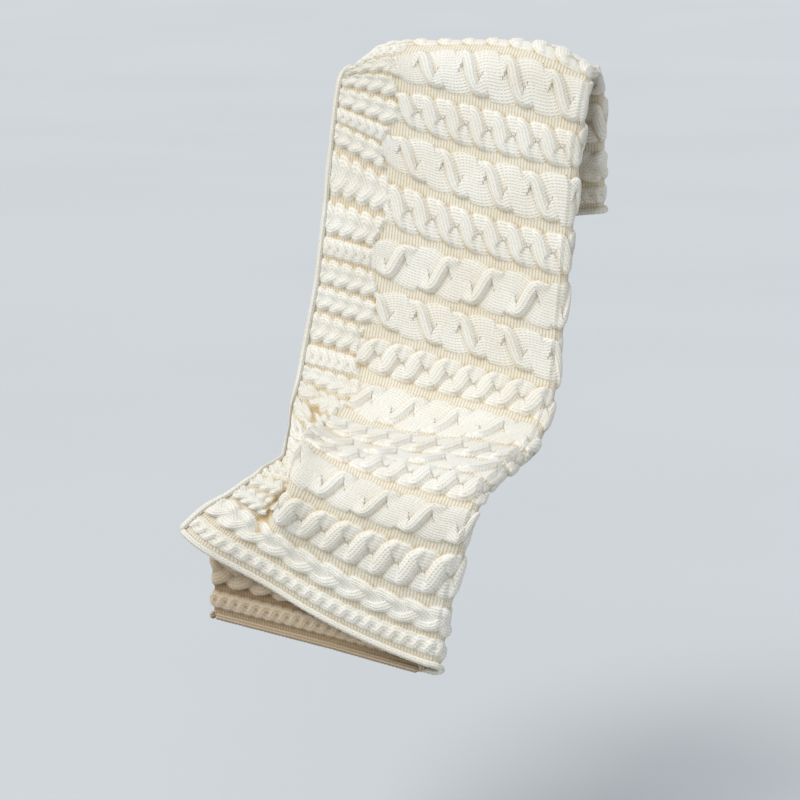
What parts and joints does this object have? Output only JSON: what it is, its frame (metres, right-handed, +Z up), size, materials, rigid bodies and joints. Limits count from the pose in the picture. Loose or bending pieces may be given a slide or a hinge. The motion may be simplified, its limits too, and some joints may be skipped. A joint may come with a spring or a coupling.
{
  "type": "folded throw blanket",
  "caption": "Cream cable-knit throw folded lengthwise in three and draped over a chair: it hangs behind the rail, runs down the back, over the seat and hangs at the front.",
  "frame": {"origin": "the middle of the seat run's underside, where the throw lies on the chair's seat", "axes": "+X across the strip to the viewer's right, -Y towards the chair's front, +Z up"},
  "size_m": [0.314, 0.506, 0.6085],
  "materials": {
    "cable_knit": "matte undyed wool, cable knit",
    "edge_cord": "matte undyed wool, knitted cord"
  },
  "bodies": {
    "main": {"back_run_back_third": "cable_knit", "back_run_inner_third": "cable_knit", "back_run_outer_third": "cable_knit", "front_bend_back_third": "cable_knit", "front_bend_inner_third": "cable_knit", "front_bend_outer_third": "cable_knit", "main_inner_edge_cord": "edge_cord", "main_left_fold": "cable_knit", "main_outer_edge_cord": "edge_cord", "main_right_fold": "cable_knit", "rail_bend_back_third": "cable_knit", "rail_bend_inner_third": "cable_knit", "rail_bend_outer_third": "cable_knit", "seat_bend_back_third": "cable_knit", "seat_bend_inner_third": "cable_knit", "seat_bend_outer_third": "cable_knit", "seat_run_back_third": "cable_knit", "seat_run_inner_third": "cable_knit", "seat_run_outer_third": "cable_knit"},
    "front_drop": {"front_drop_back_third": "cable_knit", "front_drop_inner_third": "cable_knit", "front_drop_outer_third": "cable_knit", "front_hem_cord_back": "edge_cord", "front_hem_cord_inner": "edge_cord", "front_hem_cord_outer": "edge_cord", "front_inner_edge_cord": "edge_cord", "front_left_fold": "cable_knit", "front_outer_edge_cord": "edge_cord", "front_right_fold": "cable_knit"},
    "rear_drop": {"rear_drop_back_third": "cable_knit", "rear_drop_inner_third": "cable_knit", "rear_drop_outer_third": "cable_knit", "rear_hem_cord_back": "edge_cord", "rear_hem_cord_inner": "edge_cord", "rear_hem_cord_outer": "edge_cord", "rear_inner_edge_cord": "edge_cord", "rear_left_fold": "cable_knit", "rear_outer_edge_cord": "edge_cord", "rear_right_fold": "cable_knit"}
  },
  "joints": [
    {"name": "front_lift", "type": "hinge", "parent": "main", "child": "front_drop", "pos_m": [0, -0.1165, 0.01826], "axis": [-1, 0, 0], "range_deg": [0, 75]},
    {"name": "rear_lift", "type": "hinge", "parent": "main", "child": "rear_drop", "pos_m": [0, 0.34807, 0.4286], "axis": [1, 0, 0], "range_deg": [0, 75]}
  ]
}
